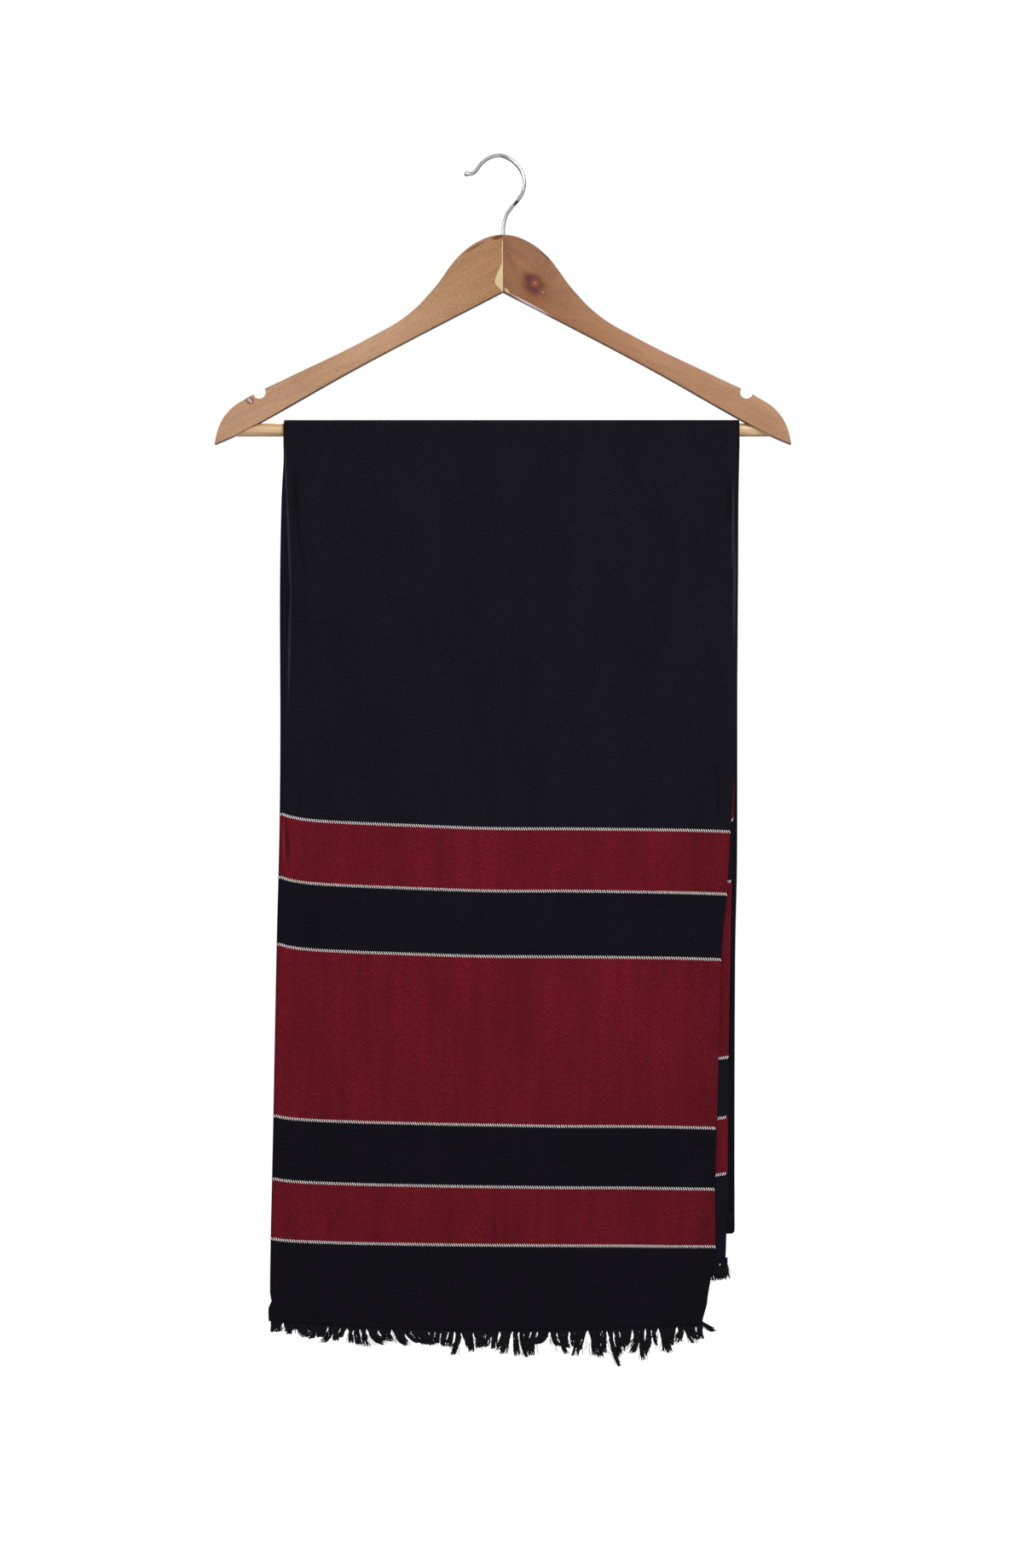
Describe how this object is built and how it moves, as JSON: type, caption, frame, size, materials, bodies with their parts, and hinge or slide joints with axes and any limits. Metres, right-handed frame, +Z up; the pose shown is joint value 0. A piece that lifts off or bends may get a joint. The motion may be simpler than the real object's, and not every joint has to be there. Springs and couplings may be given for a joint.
{
  "type": "folded shawl on a wooden hanger",
  "caption": "Wide fringed shawl with red and black cross bands, folded lengthwise and doubled over the bar of a wooden hanger with a wire hook.",
  "frame": {"origin": "underside of the hook's crown, where the hanger hangs on its peg", "axes": "+Z up, +X to the viewer's right of the front, +Y towards the back"},
  "size_m": [0.4448, 0.0206, 0.9394],
  "materials": {
    "black_wool": "soft brushed twill, blue-black, with cross bands of dark red between thin off-white lines",
    "beech": "clear satin varnish",
    "beech_red": "clear satin varnish, redder heartwood",
    "pale_dowel": "clear satin varnish, pale and straight-grained",
    "chrome": "polished plated wire"
  },
  "bodies": {
    "root": {"shawl_outer": "black_wool", "shawl_under": "black_wool", "shawl_folds": "black_wool", "fringe_outer": "black_wool", "fringe_under": "black_wool", "hanger_arm_left": "beech", "hanger_arm_right": "beech_red", "hanger_bar": "pale_dowel", "hanger_hook": "chrome"}
  },
  "joints": []
}
